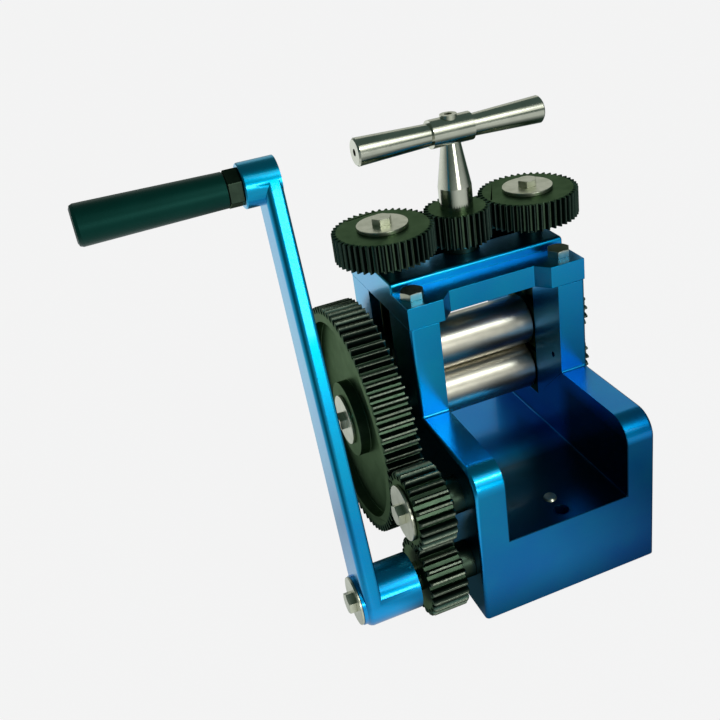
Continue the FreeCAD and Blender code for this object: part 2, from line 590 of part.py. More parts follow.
pinion_blank = gear("crank_pinion", "pinion_teeth", "train_module", "train_width",
                    "crank_shaft_radius + thread_play", crank_phase, "X", "-" + TRAIN_OUTER, CRANK_Y, CRANK_Z,
                    chamfer="pinion_chamfer", finished=False)
keep(cut("crank_pinion_slotted", pinion_blank, keyway("crank_pinion_keyway", *THROUGH_TRAIN, CRANK_Y, CRANK_Z,
                                                      "crank_shaft_radius")), "crank_pinion")
turned("drive_gear_spacer", "X", [
    ("-" + TRAIN_INNER, "journal_radius + bush_wall"),
    ("-(%s + block_proud + end_play)" % OUTER, "journal_radius + bush_wall")],
    "journal_radius + thread_play", z="lower_axis_height")
turned("drive_gear_washer", "X", [("-(%s + train_washer_thick)" % TRAIN_OUTER, "train_washer_radius"),
                                  ("-" + TRAIN_OUTER, "train_washer_radius")],
       "end_bolt_radius + thread_play", z="lower_axis_height")
IDLER_BORE = "idler_axle_radius + running_play + bush_wall - thread_play"
IDLER_FACE = "(%s + end_play)" % TRAIN_OUTER
IDLER_STEP = "(end_play - %s)" % TRAIN_INNER
turned("idler_bush", "X", [("-" + TRAIN_OUTER, IDLER_BORE), ("-" + TRAIN_INNER, IDLER_BORE)],
       "idler_axle_radius + running_play", 0, IDLER_Y, IDLER_Z)
turned("idler_axle", "X", [
    ("-" + IDLER_FACE, "idler_axle_radius"), (IDLER_STEP, "idler_axle_radius"),
    (IDLER_STEP, "idler_axle_radius + bush_wall"), ("-" + OUTER, "idler_axle_radius + bush_wall"),
    ("-" + OUTER, "idler_axle_radius"), ("idler_axle_depth - %s" % OUTER, "idler_axle_radius")],
    0, 0, IDLER_Y, IDLER_Z)
turned("idler_washer", "X", [("-(%s + train_washer_thick)" % IDLER_FACE, "train_washer_radius"),
                             ("-" + IDLER_FACE, "train_washer_radius")],
       "end_bolt_radius + thread_play", 0, IDLER_Y, IDLER_Z)

# the gears that tie the rolls
roll_pitch = number("roll_gear_module * roll_gear_teeth / 2")
roll_count = int(round(number("roll_gear_teeth")))
upper_phase = mate_phase(0, roll_pitch, math.pi / 2, roll_pitch, roll_count)
for level, axis_height, phase in (("lower", "lower_axis_height", 0), ("upper", UPPER_AXIS, upper_phase)):
    blank = gear(level + "_roll_gear", "roll_gear_teeth", "roll_gear_module", "roll_gear_width", SEAT, phase, "X",
                 ROLL_GEAR_INNER, 0, axis_height, finished=False)
    slot = keyway(level + "_gear_keyway", "%s - past" % ROLL_GEAR_INNER, "roll_gear_width + 2 * past", 0,
                  axis_height, "drive_seat_radius")
    keep(cut(level + "_gear_slotted", blank, slot), level + "_roll_gear")
    turned(level + "_roll_washer", "X", [
        (ROLL_GEAR_OUTER, "roll_gear_washer_radius"),
        ("%s + train_washer_thick" % ROLL_GEAR_OUTER, "roll_gear_washer_radius")],
        "end_bolt_radius + thread_play", z=axis_height)


def end_bolt(label, washer, x, y, z, rotation):
    """A bolt in the tapped end of a shaft, cut off flush where the shaft begins."""
    bolt = hexagon_bolt(label + "_solid", "end_bolt", washer, rotation, x, y, z)
    return keep(bolt, label)


end_bolt("drive_gear_bolt", "train_washer_thick", "-(%s + train_washer_thick)" % TRAIN_OUTER, 0, "lower_axis_height", LEFTWARD)
end_bolt("idler_bolt", "train_washer_thick", "-(%s + train_washer_thick)" % IDLER_FACE, IDLER_Y, IDLER_Z,
         LEFTWARD)
end_bolt("lower_roll_bolt", "train_washer_thick", "%s + train_washer_thick" % ROLL_GEAR_OUTER, 0,
         "lower_axis_height", RIGHTWARD)
end_bolt("upper_roll_bolt", "train_washer_thick", "%s + train_washer_thick" % ROLL_GEAR_OUTER, 0,
         UPPER_AXIS, RIGHTWARD)

# the crank shaft and its bush
CRANK_BUSH = "crank_shaft_radius + running_play + bush_wall"
COLLAR = "crank_shaft_radius + bush_wall"
PAD_FACE = "(%s + pad_thick)" % ARM_OUTER
turned("crank_bush", "X", [("-" + OUTER, CRANK_BUSH), ("crank_shaft_depth - %s" % OUTER, CRANK_BUSH)],
       "crank_shaft_radius + running_play", 0, CRANK_Y, CRANK_Z)
shaft_blank = turned("crank_shaft", "X", [
    ("-" + PAD_FACE, "crank_shaft_radius"), ("-" + TRAIN_INNER, "crank_shaft_radius"), ("-" + TRAIN_INNER, COLLAR),
    ("-(%s + end_play)" % OUTER, COLLAR), ("-(%s + end_play)" % OUTER, "crank_shaft_radius"),
    ("crank_shaft_depth - %s" % OUTER, "crank_shaft_radius")], 0, 0, CRANK_Y, CRANK_Z, finished=False)
keep(cut("crank_shaft_slotted", shaft_blank, keyway("crank_shaft_keyway", *CRANK_KEY, CRANK_Y, CRANK_Z,
                                                    "crank_shaft_radius")), "crank_shaft")
keep(key_block("crank_key_bar", *CRANK_KEY, CRANK_Y, CRANK_Z, "crank_shaft_radius"), "crank_key")

# the crank arm: a tapered bar between two round ends, with a boss each way
arm = doc.addObject("PartDesign::Body", "crank_arm_body")
plan = new_sketch(arm, "YZ_Plane", "arm_plan")
foot_r, head_r, reach = (number(k) for k in ("arm_foot_radius", "arm_head_radius", "crank_length"))
ease = math.asin((foot_r - head_r) / reach)
out = Vector(math.cos(ease), math.sin(ease), 0)
back = Vector(-math.cos(ease), math.sin(ease), 0)
crown = Vector(0, reach, 0)
plan.addGeometry([
    Part.LineSegment(out * foot_r, crown + out * head_r),
    Part.Arc(crown + out * head_r, crown + Vector(0, head_r, 0), crown + back * head_r),
    Part.LineSegment(crown + back * head_r, back * foot_r),
    Part.Arc(back * foot_r, Vector(0, -foot_r, 0), out * foot_r)], False)
for edge, end, other, start in ((0, 2, 1, 1), (1, 2, 2, 1), (2, 2, 3, 1), (3, 2, 0, 1)):
    plan.addConstraint(Sketcher.Constraint("Tangent", edge, end, other, start))
pin_point(plan, 3, 3, 0, 0)
pin_point(plan, 1, 3, 0, "crank_length")
for edge, radius in ((3, "arm_foot_radius"), (1, "arm_head_radius")):
    held = plan.addConstraint(Sketcher.Constraint("Radius", edge, number(radius)))
    plan.setExpression("Constraints[%d]" % held, cells(radius))
pad(arm, plan, "arm_bar", "arm_thick", reverse=True)
arm_face = -number("arm_thick")
soften(arm, "Fillet", "arm_outer_edges", "arm_outer_round", lambda at, along: abs(at.x - arm_face) < 0.1)
soften(arm, "Fillet", "arm_inner_edges", "arm_inner_round", lambda at, along: abs(at.x) < 0.1)
foot_boss = circles(arm, "YZ_Plane", "foot_boss_round", [(0, 0, "arm_foot_radius")])
boss_pad = pad(arm, foot_boss, "foot_boss", "foot_boss_length", "Two sides")
bind(boss_pad, Length2="arm_inner_round")
head_boss = circles(arm, "YZ_Plane", "head_boss_round", [(0, "crank_length", "arm_head_radius")])
pad(arm, head_boss, "head_boss", "arm_thick + head_boss_length", reverse=True)
arm_pad = circles(arm, "YZ_Plane", "arm_pad_round", [(0, 0, "pad_radius")])
pad(arm, arm_pad, "arm_pad", "arm_thick + pad_thick", reverse=True)
boss_face = -number("arm_thick + head_boss_length")
soften(arm, "Fillet", "head_boss_edge", "boss_edge", lambda at, along: abs(at.x - boss_face) < 0.1)
arm_bores = circles(arm, "YZ_Plane", "arm_bore_rounds", [(0, 0, "crank_shaft_radius + thread_play")])
pocket(arm, arm_bores, "arm_bore", None, "Symmetric")
spindle_bore = circles(arm, "YZ_Plane", "spindle_bore_round", [(0, "crank_length", "spindle_radius + thread_play")])
pocket(arm, spindle_bore, "spindle_bore", None, "Symmetric")
arm.Placement = FreeCAD.Placement(Vector(), FreeCAD.Rotation(Vector(1, 0, 0), -number("crank_lean")))
for name, formula in (("x", "-" + ARM_INNER), ("y", CRANK_Y), ("z", CRANK_Z)):
    arm.setExpression("Placement.Base." + name, cells(formula))
arm_slot = keyway("crank_arm_keyway", "-(%s + past)" % PAD_FACE,
                  "foot_boss_length + arm_thick + pad_thick + 2 * past", CRANK_Y, CRANK_Z, "crank_shaft_radius")
keep(cut("crank_arm_slotted", arm, arm_slot), "crank_arm")
turned("crank_washer", "X", [("-(%s + crank_washer_thick)" % PAD_FACE, "crank_washer_radius"),
                             ("-" + PAD_FACE, "crank_washer_radius")],
       "end_bolt_radius + thread_play", 0, CRANK_Y, CRANK_Z)
end_bolt("crank_bolt", "crank_washer_thick", "-(%s + crank_washer_thick)" % PAD_FACE, CRANK_Y, CRANK_Z, LEFTWARD)

# the grip on its spindle
BOSS_FACE = "(%s + head_boss_length)" % ARM_OUTER
GRIP_NEAR = "(%s + spindle_nut_length + grip_gap)" % BOSS_FACE
GRIP_FAR = "(%s + grip_length)" % GRIP_NEAR
grip = turned("grip", "X", [
    ("-" + GRIP_FAR, "grip_end_radius - grip_round"),
    ("0.3 * grip_round - %s" % GRIP_FAR, "grip_end_radius - 0.3 * grip_round"),
    ("grip_round - %s" % GRIP_FAR, "grip_end_radius"), ("-" + GRIP_NEAR, "grip_neck_radius")],
    "spindle_radius + running_play", 0, GRIP_Y, GRIP_Z, finished=False)
recess = cylinder("grip_recess", "X", "spindle_head_radius + grip_gap",
                  "spindle_head_length + 2 * grip_gap + past", "-(%s + past)" % GRIP_FAR, GRIP_Y, GRIP_Z)
keep(cut("grip_recessed", grip, recess), "grip")
turned("grip_spindle", "X", [("-(%s - grip_gap)" % GRIP_FAR, "spindle_head_radius"),
                             ("spindle_head_length + grip_gap - %s" % GRIP_FAR, "spindle_head_radius"),
                             ("spindle_head_length + grip_gap - %s" % GRIP_FAR, "spindle_radius"),
                             ("-%s" % ARM_INNER, "spindle_radius")],
       0, 0, GRIP_Y, GRIP_Z)
nut_blank = doc.addObject("Part::Prism", "spindle_nut_blank")
nut_blank.Polygon = 6
bind(nut_blank, Circumradius="spindle_nut_flats / sqrt(3)", Height="spindle_nut_length")
place(nut_blank, "-" + BOSS_FACE, GRIP_Y, GRIP_Z, LEFTWARD)
nut_hole = cylinder("spindle_nut_hole", "X", "spindle_radius + thread_play", "spindle_nut_length + 2 * past",
                    "-(%s + spindle_nut_length + past)" % BOSS_FACE, GRIP_Y, GRIP_Z)
keep(cut("spindle_nut_tapped", nut_blank, nut_hole), "spindle_nut")

# the roll-gap adjuster: two screws, their gears and the tee handle
adjuster_pitch = number("%s * adjuster_teeth / 2" % ADJUSTER_MODULE)
screw_pitch = number("%s * screw_gear_teeth / 2" % ADJUSTER_MODULE)
screw_count = int(round(number("screw_gear_teeth")))
GEAR_TOP = "(%s + screw_gear_thick)" % SCREW_GEAR_LOW
WASHER_TOP = "(%s + screw_washer_thick)" % GEAR_TOP
TIP_TOP = "(%s + screw_tip_length)" % BLOCK_TOP
for side_name, hand in (("left", -1), ("right", 1)):
    spot = "%d * %s" % (hand, SCREW_X)
    toward = 0 if hand > 0 else math.pi
    turned(side_name + "_screw", "Z", [
        (BLOCK_TOP, "screw_tip_radius"), (TIP_TOP, "screw_tip_radius"), (TIP_TOP, "screw_radius"),
        (SCREW_GEAR_LOW, "screw_radius"), (SCREW_GEAR_LOW, "screw_seat_radius"),
        (GEAR_TOP, "screw_seat_radius")], x=spot)
    gear(side_name + "_screw_gear", "screw_gear_teeth", ADJUSTER_MODULE, "screw_gear_thick",
         "screw_seat_radius + thread_play", mate_phase(0, adjuster_pitch, toward, screw_pitch, screw_count), "Z",
         spot, 0, SCREW_GEAR_LOW)
    turned(side_name + "_screw_washer", "Z", [
        (GEAR_TOP, "screw_washer_radius"), (WASHER_TOP, "screw_washer_radius")],
        "end_bolt_radius + thread_play", x=spot)
    keep(hexagon_bolt(side_name + "_screw_bolt_solid", "end_bolt", "screw_washer_thick", None, spot, 0,
                      WASHER_TOP), side_name + "_screw_bolt")

turned("adjuster_bush", "Z", [
    ("frame_height", BORE_BUSH_RADIUS), (BRIDGE_TOP, BORE_BUSH_RADIUS),
    (BRIDGE_TOP, "spindle_collar_radius"), (COLLAR_TOP, "spindle_collar_radius")],
    "screw_radius + running_play")
turned("thrust_washer", "Z", [
    (COLLAR_TOP, "thrust_washer_radius"), ("%s + thrust_washer_thick" % COLLAR_TOP, "thrust_washer_radius")],
    "screw_radius + running_play")
turned("spindle_ring", "Z", [
    ("frame_height - ring_thick - end_play", "ring_radius"), ("frame_height - end_play", "ring_radius")],
    "screw_radius + thread_play")
column = turned("adjuster_column", "Z", [
    ("frame_height - 2 * ring_thick", "screw_radius"), (ADJUSTER_TOP, "screw_radius"),
    (ADJUSTER_TOP, "column_radius"), ("%s + column_straight" % ADJUSTER_TOP, "column_radius"),
    ("%s - 0.8 * tee_hub_radius" % TEE_AXIS, "column_neck_radius"), (TEE_AXIS, "column_neck_radius")],
    finished=False)
hub = cylinder("tee_hub", "X", "tee_hub_radius", "2 * tee_hub_half", "-tee_hub_half", 0, TEE_AXIS)
rod_bore = cylinder("cross_rod_bore", "X", "cross_rod_radius + thread_play", "2 * (tee_hub_half + past)",
                    "-(tee_hub_half + past)", 0, TEE_AXIS)
screw_bore = cylinder("tee_screw_bore", "Z", "tee_screw_radius + thread_play", "tee_hub_radius",
                      0, 0, "%s + cross_rod_radius" % TEE_AXIS)
spindle_blank = joined("Fuse", "adjuster_spindle_blank", column, hub)
keep(cut("adjuster_spindle_machined", spindle_blank, rod_bore, screw_bore), "adjuster_spindle")
gear("adjuster_gear", "adjuster_teeth", ADJUSTER_MODULE, "adjuster_gear_thick", "screw_radius + thread_play",
     0, "Z", 0, 0, ADJUSTER_LOW)
turned("cross_rod", "X", [("-(tee_hub_half + cross_rod_grip)", "cross_rod_radius"),
                          ("tee_hub_half + cross_rod_grip", "cross_rod_radius")], z=TEE_AXIS)
SOCKET_RUN = "(cross_rod_grip + 2 * end_play)"
for side_name, hand in (("left", -1), ("right", 1)):
    bar = turned(side_name + "_handle_bar", "X", [
        ("%d * tee_hub_half" % hand, "bar_neck_radius"), ("%d * (bar_end - bar_edge)" % hand, "bar_end_radius"),
        ("%d * bar_end" % hand, "bar_end_radius - bar_edge")], z=TEE_AXIS, finished=False)
    start = "-(tee_hub_half + %s)" % SOCKET_RUN if hand < 0 else "tee_hub_half"
    socket = cylinder(side_name + "_bar_socket", "X", "cross_rod_radius + thread_play", SOCKET_RUN,
                      start, 0, TEE_AXIS)
    hole_start = "-(bar_end + past)" if hand < 0 else "bar_end - bar_end_hole_depth"
    hole = cylinder(side_name + "_bar_hole", "X", "bar_end_hole", "bar_end_hole_depth + past",
                    hole_start, 0, TEE_AXIS)
    keep(cut(side_name + "_bar_machined", bar, socket, hole), side_name + "_handle_bar")
screw = cylinder("tee_screw_body", "Z", "tee_screw_radius",
                 "tee_hub_radius - cross_rod_radius + tee_screw_rise - face_gap",
                 0, 0, "%s + cross_rod_radius + face_gap" % TEE_AXIS)
socket = doc.addObject("Part::Prism", "tee_screw_socket")
socket.Polygon = 6
bind(socket, Circumradius="tee_screw_hex", Height="tee_screw_hex_depth + past")
place(socket, 0, 0, "%s + tee_hub_radius + tee_screw_rise - tee_screw_hex_depth" % TEE_AXIS)
keep(cut("tee_screw_socketed", screw, socket), "tee_screw")

doc.recompute()
for item in doc.Objects:
    if "Invalid" in item.State or "Error" in item.State:
        raise ValueError("%s failed" % item.Name)
os.makedirs("parts", exist_ok=True)
for item in kept:
    if item.Shape.isNull() or not item.Shape.isValid():
        raise ValueError("%s has no valid shape" % item.Label)
for item in kept:
    item.Shape.exportStep("parts/%s.step" % item.Label)
print(len(kept), "sub-parts")
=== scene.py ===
import json
import math

import bmesh
import bpy
import numpy as np
from mathutils import Matrix


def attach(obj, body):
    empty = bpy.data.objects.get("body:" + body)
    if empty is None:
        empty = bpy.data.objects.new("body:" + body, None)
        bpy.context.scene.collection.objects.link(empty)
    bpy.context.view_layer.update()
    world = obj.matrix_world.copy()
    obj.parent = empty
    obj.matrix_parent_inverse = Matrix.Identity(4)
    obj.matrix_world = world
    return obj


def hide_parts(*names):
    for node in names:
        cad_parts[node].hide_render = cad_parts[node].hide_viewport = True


# A bench rolling mill for jewellers: candy-blue casting, oil-blackened gears, ground rolls.
# Everything is in metres, in the frame of the model: X along the rolls, Y to the back, Z up.

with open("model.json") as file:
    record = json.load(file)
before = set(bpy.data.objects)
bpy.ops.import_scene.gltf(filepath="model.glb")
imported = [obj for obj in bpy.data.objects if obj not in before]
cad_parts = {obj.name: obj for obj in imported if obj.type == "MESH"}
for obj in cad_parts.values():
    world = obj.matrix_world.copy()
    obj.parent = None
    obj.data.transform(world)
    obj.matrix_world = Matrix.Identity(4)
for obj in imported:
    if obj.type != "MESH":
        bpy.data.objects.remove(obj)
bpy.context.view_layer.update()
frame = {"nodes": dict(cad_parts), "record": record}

MM = 0.001
BACKGROUND = (0.913, 0.913, 0.913)
UP = np.array([0.0, 0.0, 1.0])

# the trough between the two wings of the casting, in millimetres
TROUGH_HALF_WIDTH = 40
TROUGH_BACK = -44
TROUGH_FLOOR = 52
WING_TOP = 103


# values over a surface

class Field:
    """A value that changes over a surface: a shader socket that takes Python's operators."""

    def __init__(self, finish, socket):
        self.finish = finish
        self.socket = socket

    def maths(self, operation, *values):
        return self.finish.add("ShaderNodeMath", {"operation": operation}, dict(enumerate(values)))

    def __add__(self, other):
        return self.maths("ADD", self, other)

    __radd__ = __add__

    def __sub__(self, other):
        return self.maths("SUBTRACT", self, other)

    def __rsub__(self, other):
        return self.maths("SUBTRACT", other, self)

    def __mul__(self, other):
        return self.maths("MULTIPLY", self, other)

    __rmul__ = __mul__

    def __truediv__(self, other):
        return self.maths("DIVIDE", self, other)

    def __pow__(self, other):
        return self.maths("POWER", self, other)

    def between(self, low, high):
        """0 at low, 1 at high, and straight between them."""
        settings = {"clamp": True}
        inputs = {"Value": self, "From Min": low, "From Max": high}
        return self.finish.add("ShaderNodeMapRange", settings, inputs)


class Finish:
    """One material, with the ways to build up its shader."""

    def __init__(self, name):
        self.material = bpy.data.materials.new(name)
        self.material.use_nodes = True
        self.tree = self.material.node_tree
        self.shader = self.tree.nodes["Principled BSDF"]

    def add(self, kind, settings=None, inputs=None, output=0):
        """One node: its settings first, then the values or links of its sockets."""
        node = self.tree.nodes.new(kind)
        for name, value in (settings or {}).items():
            setattr(node, name, value)
        for name, value in (inputs or {}).items():
            self.feed(node.inputs[name], value)
        return Field(self, node.outputs[output])

    def feed(self, socket, value):
        if isinstance(value, Field):
            self.tree.links.new(value.socket, socket)
        else:
            socket.default_value = value

    def place(self, scale=(1, 1, 1)):
        """The point on the surface in millimetres, stretched by scale."""
        coordinates = self.tree.nodes.new("ShaderNodeTexCoord")
        stretch = tuple(k / MM for k in scale)
        inputs = {"Vector": Field(self, coordinates.outputs["Object"]), "Scale": stretch}
        return self.add("ShaderNodeMapping", None, inputs)

    def point(self):
        """The point on the surface in millimetres, as three values."""
        node = self.tree.nodes.new("ShaderNodeSeparateXYZ")
        self.feed(node.inputs[0], self.place())
        return [Field(self, socket) for socket in node.outputs]

    def noise(self, size, detail=2, scale=(1, 1, 1), roughness=0.5):
        """A cloudy pattern from 0 to 1 whose blotches are about size millimetres wide."""
        inputs = {"Vector": self.place(scale), "Scale": 1 / size, "Detail": detail, "Roughness": roughness}
        return self.add("ShaderNodeTexNoise", None, inputs)

    def mix(self, share, low, high):
        """A colour between two colours."""
        inputs = {0: share, 6: self.colour(low), 7: self.colour(high)}
        return self.add("ShaderNodeMix", {"data_type": "RGBA"}, inputs, 2)

    @staticmethod
    def colour(value):
        return value if isinstance(value, Field) else (*value, 1)

    def bump(self, height, distance, strength=1.0):
        inputs = {"Height": height, "Distance": distance * MM, "Strength": strength}
        return self.add("ShaderNodeBump", None, inputs)

    def set(self, **sockets):
        """Values or links of the surface's own sockets, such as base_color."""
        for name, value in sockets.items():
            socket = self.shader.inputs[name.replace("_", " ").title().replace("Ior", "IOR")]
            self.feed(socket, value)
        return self.material


def within_trough(x, y, z):
    """1 on the trough's floor and inner walls, where shade is painted, fading to 0 at its back and at the
    wings' tops.
    """
    outer, inner = TROUGH_HALF_WIDTH + 0.8, TROUGH_HALF_WIDTH + 0.4
    across = x.between(-outer, -inner) * x.between(outer, inner)
    along = y.between(TROUGH_BACK, TROUGH_BACK - 14)
    below = z.between(WING_TOP - 0.5, WING_TOP - 12)
    above = z.between(TROUGH_FLOOR - 0.8, TROUGH_FLOOR - 0.2)
    return across * along * below * above


def candy_enamel():
    """Clear blue over bright metal, with painted light greener to the left and high up, and painted shade in
    the trough.
    """
    finish = Finish("candy_enamel")
    cloud = finish.noise(34, 2)
    flake = finish.noise(0.4, 1)
    x, y, z = finish.point()
    deep, light = (0.0, 0.15, 0.66), (0.0, 0.4, 0.66)
    # painted light: a lighter, greener blue to the left and higher up, as light falls on the casting
    tone = (cloud.between(0.35, 0.65) * 0.2 + flake.between(0.35, 0.65) * 0.1 + x.between(60, -60) * 0.3
            + z.between(20, 130) * 0.4)
    # painted shade: the trough's floor and inner walls are darkened, with a weaker coat
    trough = within_trough(x, y, z)
    blue = finish.mix(tone, deep, light)
    peel = finish.noise(3.5, 1)
    grain = finish.noise(0.5, 2)
    return finish.set(
        base_color=finish.mix(trough * 0.85, blue, (0.0, 0.02, 0.03)), metallic=1.0,
        roughness=0.25 + 0.08 * grain, coat_weight=0.3 - 0.2 * trough, coat_roughness=0.06,
        normal=finish.bump(peel * 0.7 + grain * 0.3, 0.015))


def black_oxide(name):
    """Oil-blackened steel: green-black, with a slow change of tone."""
    colour = (0.05, 0.08, 0.055)
    finish = Finish(name)
    cloud = finish.noise(9, 3)
    fine = finish.noise(0.5, 2)
    darker = tuple(0.55 * c for c in colour)
    finish.set(
        base_color=finish.mix(cloud.between(0.3, 0.7), darker, colour), metallic=1.0,
        roughness=0.36 + 0.14 * (fine - 0.5), normal=finish.bump(fine, 0.012))
    finish.set(specular_tint=(0.5, 0.56, 0.46, 1))
    return finish


def toothed_steel(name, axis, centre, tip, depth, rubbing):
    """Blackened gear steel, darker on the teeth, with rubbed tips.

    The tip radius, the tooth depth and the centre are in millimetres. Rubbing is 0 for a new gear.
    """
    finish = black_oxide(name)
    u, v = [finish.point()[k] - centre[k] for k in range(3) if k != axis]
    radius = (u * u + v * v) ** 0.5
    rubbed = finish.noise(1.3, 3).between(0.3, 0.75)
    worn = radius.between(tip - 0.3 * depth, tip - 0.02 * depth) * (0.3 + 0.7 * rubbed) * rubbing
    cloud = finish.noise(9, 3).between(0.3, 0.7)
    face = finish.mix(cloud, (0.06, 0.1, 0.062), (0.095, 0.15, 0.092))
    toothed = radius.between(tip - 1.05 * depth, tip - 0.85 * depth)
    plain = finish.mix(toothed, face, (0.026, 0.05, 0.04))
    return finish.set(base_color=finish.mix(worn, plain, (0.3, 0.33, 0.25)))


def ground_steel(name, axis, colour, rough):
    """Turned or ground steel: fine rings about an axis, with slow changes of shine."""
    finish = Finish(name)
    along = [0.02, 0.02, 0.02]
    along[axis] = 1
    rings = finish.noise(0.35, 3, along, 0.7)
    cloud = finish.noise(14, 3)
    darker = tuple(0.82 * c for c in colour)
    return finish.set(
        base_color=finish.mix(cloud.between(0.3, 0.7), darker, colour), metallic=1.0,
        roughness=rough + 0.08 * (rings - 0.5) + 0.04 * (cloud - 0.5),
        normal=finish.bump(rings, 0.0015, 0.6))


def nickel_plate():
    """Satin plate on washers and bolts, a little warm, with faint blotches."""
    finish = Finish("nickel_plate")
    cloud = finish.noise(6, 2)
    fine = finish.noise(0.3, 2)
    return finish.set(
        base_color=finish.mix(cloud.between(0.3, 0.7), (0.47, 0.49, 0.38), (0.62, 0.63, 0.52)), metallic=1.0,
        roughness=0.3 + 0.06 * (cloud - 0.5), normal=finish.bump(fine, 0.004))


def grip_plastic():
    """Green-black moulded plastic with a faint skin texture."""
    finish = Finish("grip_black")
    cloud = finish.noise(18, 2)
    skin = finish.noise(0.45, 2)
    return finish.set(
        base_color=finish.mix(cloud, (0.0, 0.016, 0.012), (0.0, 0.026, 0.019)), metallic=0.0,
        specular_tint=(0.2, 0.9, 0.75, 1), roughness=0.42 + 0.1 * (skin - 0.5),
        specular_ior_level=0.35, normal=finish.bump(skin, 0.02, 0.5))


def bearing_bronze():
    finish = Finish("bearing_bronze")
    cloud = finish.noise(5, 3)
    return finish.set(
        base_color=finish.mix(cloud, (0.36, 0.22, 0.09), (0.55, 0.37, 0.17)), metallic=1.0,
        roughness=0.35 + 0.1 * (cloud - 0.5))


def spring_wire():
    finish = Finish("spring_wire")
    cloud = finish.noise(2, 2)
    return finish.set(
        base_color=finish.mix(cloud, (0.2, 0.2, 0.2), (0.36, 0.36, 0.35)), metallic=1.0,
        roughness=0.3 + 0.1 * (cloud - 0.5))


FINISHES = {
    "frame_blue": candy_enamel(),
    "blackened_steel": black_oxide("black_oxide").material,
    "polished_roll": ground_steel("ground_roll", 0, (0.66, 0.625, 0.53), 0.3),
    "turned_steel": ground_steel("turned_steel", 0, (0.62, 0.63, 0.53), 0.18),
    "bright_fastener": nickel_plate(),
    "bronze": bearing_bronze(),
    "grip_plastic": grip_plastic(),
    "spring_steel": spring_wire(),
}
SLOT_OF = {entry["node"]: entry["material_slot"] for entry in frame["record"]["subparts"]}
BODY_OF = {node: body for body, nodes in frame["record"]["behaviour"]["bodies"].items() for node in nodes}

for node, thing in frame["nodes"].items():
    thing.data.materials.clear()
    thing.data.materials.append(FINISHES[SLOT_OF[node]])

# tip radius and tooth depth of each gear in millimetres, the direction of its shaft and how rubbed it is
GEARS = {
    "drive_gear": (76, 4.5, 0, 0.6), "idler_gear": (24, 4.5, 0, 0.7), "crank_pinion": (24, 4.5, 0, 0.7),
    "lower_roll_gear": (18.9, 4.2, 0, 0.6), "upper_roll_gear": (18.9, 4.2, 0, 0.6),
    "left_screw_gear": (31.7, 3, 2, 0.1), "right_screw_gear": (31.7, 3, 2, 0.1),
    "adjuster_gear": (20.9, 3, 2, 0.15),
}
MERGE_DISTANCE = 0.00001
FLAT_ANGLE = math.radians(0.6)
SHARP_ANGLE = math.radians(28)


def dressed(node, width, finish=None):
    """A copy of a solid of the model with its sharp edges rounded by a width in millimetres."""
    source = frame["nodes"][node]
    mesh = source.data.copy()
    mesh.name = node + "_dressed"
    work = bmesh.new()
    work.from_mesh(mesh)
    bmesh.ops.remove_doubles(work, verts=work.verts, dist=MERGE_DISTANCE)
    bmesh.ops.dissolve_limit(work, angle_limit=FLAT_ANGLE, verts=work.verts, edges=work.edges)
    for face in work.faces:
        face.smooth = True
    work.to_mesh(mesh)
    work.free()
    copy = bpy.data.objects.new(node + "_dressed", mesh)
    bpy.context.collection.objects.link(copy)
    rounding = copy.modifiers.new("rounding", "BEVEL")
    rounding.width = width * MM
    rounding.segments = 2
    rounding.limit_method = "ANGLE"
    rounding.angle_limit = SHARP_ANGLE
    rounding.use_clamp_overlap = True
    shading = copy.modifiers.new("flat_faces", "WEIGHTED_NORMAL")
    shading.weight = 100
    shading.keep_sharp = True
    if finish:
        mesh.materials.clear()
        mesh.materials.append(finish)
    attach(copy, BODY_OF[node])
    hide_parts(node)
    return copy


def gear_centre(node):
    """The middle of a gear's bounds, in millimetres."""
    corners = np.array([tuple(vertex.co) for vertex in frame["nodes"][node].data.vertices])
    return (corners.min(axis=0) + corners.max(axis=0)) / 2 / MM


for node, width in (("frame", 0.7), ("bridge", 0.7), ("crank_arm", 0.6), ("spindle_nut", 0.7)):
    dressed(node, width)
for node, (tip, depth, axis, rubbing) in GEARS.items():
    dressed(node, 0.28, toothed_steel(node + "_steel", axis, gear_centre(node), tip, depth, rubbing))
for node in SLOT_OF:
    if node.endswith(("washer", "bolt", "bolts")):
        dressed(node, 0.35)
# nothing bronze shows under the adjuster's gear in the photograph, so the flange is dark
dressed("adjuster_bush", 0.3, FINISHES["blackened_steel"])


# floor, lamps and camera

def light_of(finish, colour):
    return finish.add("ShaderNodeEmission", None, {"Color": colour, "Strength": 1})


def bench_light(x, y):
    """How lit the bench looks to polished faces, from 0 to 1, by the place in millimetres.

    Behind and ahead it is lit past a dark ring round the mill, a painted shadow, and on the crank's side
    without the ring. Before the casting it fades out to the right into painted shade, and there is a
    painted pool of light beside the crank.
    """
    radius = (x * x + y * y) ** 0.5
    behind = ((0.84 * y - 0.54 * x) / radius).between(0, 1)
    ahead = ((0.26 * x - 0.966 * y) / radius).between(0.35, 0.95) * 0.65
    # painted shadow: a dark ring round the mill; before the casting, painted shade to the right; beside the
    # crank, a painted pool of light
    clear = (radius.between(230, 480) + x.between(-95, -140)).between(0, 1)
    before = (x.between(100, 0) * 0.38 + 0.07) * y.between(-108, -145) * x.between(-200, -110)
    beside = x.between(-88, -104) * y.between(10, -50) * 0.55
    return ((behind + ahead) * clear + (before + beside) * radius.between(500, 300)).between(0, 1)


